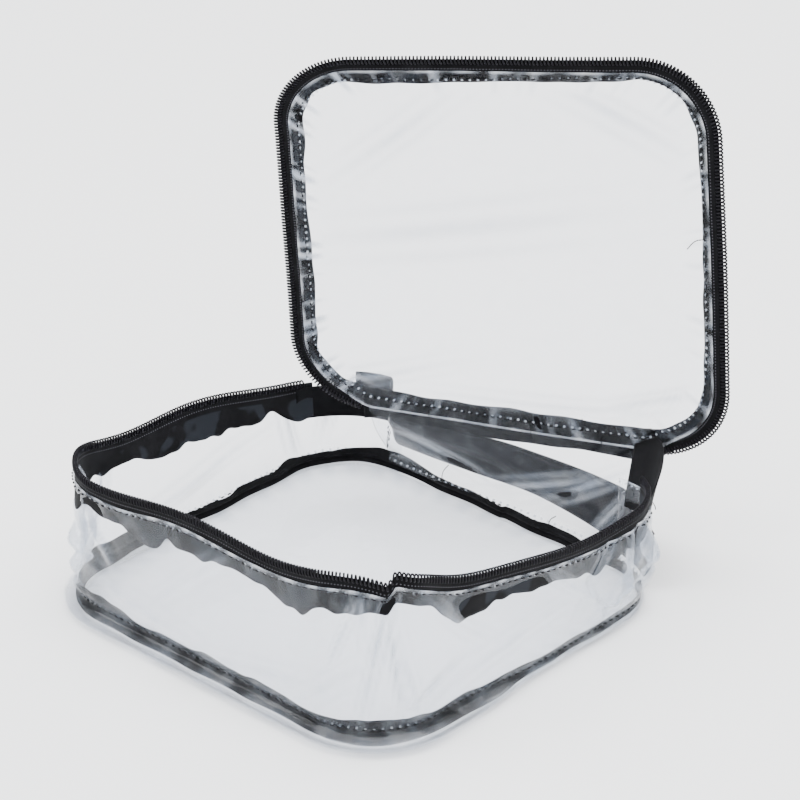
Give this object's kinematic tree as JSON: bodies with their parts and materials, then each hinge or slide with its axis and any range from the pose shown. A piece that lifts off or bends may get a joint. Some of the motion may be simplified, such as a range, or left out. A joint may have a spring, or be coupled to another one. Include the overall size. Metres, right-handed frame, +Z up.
{
  "type": "clear zippered makeup bag",
  "caption": "Low rounded-square clear vinyl makeup bag with black zipper tape round the rim and a tape-hinged lid that swings open, with a zipper slider and pull tab.",
  "frame": {"origin": "centre of the footprint, on the surface the bag rests on", "axes": "+X along the hinge wall, to the right seen from the front; -Y towards the front wall; +Z up"},
  "size_m": [0.1814, 0.2128, 0.2153],
  "materials": {
    "clear_vinyl": "clear, glossy, soft sheet",
    "zipper_tape": "fine ribbed polyester tape",
    "nylon_coil": "black nylon coil, slight sheen",
    "webbing": "black woven webbing",
    "thread": "black sewing thread",
    "black_metal": "glossy black lacquer"
  },
  "bodies": {
    "bag": {"base_panel": "clear_vinyl", "wall_panel": "clear_vinyl", "back_panel": "clear_vinyl", "base_binding": "zipper_tape", "wall_zip_tape": "zipper_tape", "wall_zip_coil": "nylon_coil", "zip_end_tab_left": "zipper_tape", "zip_end_tab_right": "zipper_tape", "back_band": "webbing", "wall_zip_stitches": "thread", "base_stitches": "thread", "corner_seam_stitches_left": "thread", "corner_seam_stitches_right": "thread", "band_bartacks": "thread"},
    "lid": {"lid_panel": "clear_vinyl", "lid_zip_tape": "zipper_tape", "lid_zip_coil": "nylon_coil", "hinge_binding": "zipper_tape", "lid_zip_stitches": "thread", "hinge_stitches": "thread"},
    "slider": {"slider_body": "black_metal"},
    "pull": {"pull_tab": "black_metal"}
  },
  "joints": [
    {"name": "lid_hinge", "type": "hinge", "parent": "bag", "child": "lid", "pos_m": [0, 0.086, 0.042], "axis": [-0.9557, -0.1827, 0.2308], "range_deg": [-81.88, 62]},
    {"name": "slider_run", "type": "hinge", "parent": "lid", "child": "slider", "pos_m": [0.05176, 0.11035, 0.07502], "axis": [0.4373, -0.8966, -0.0698], "range_deg": [0, 8]},
    {"name": "pull_swing", "type": "hinge", "parent": "slider", "child": "pull", "pos_m": [0.05327, 0.11728, 0.0441], "axis": [0.0948, 0.1231, -0.9879], "range_deg": [0, 180]}
  ]
}
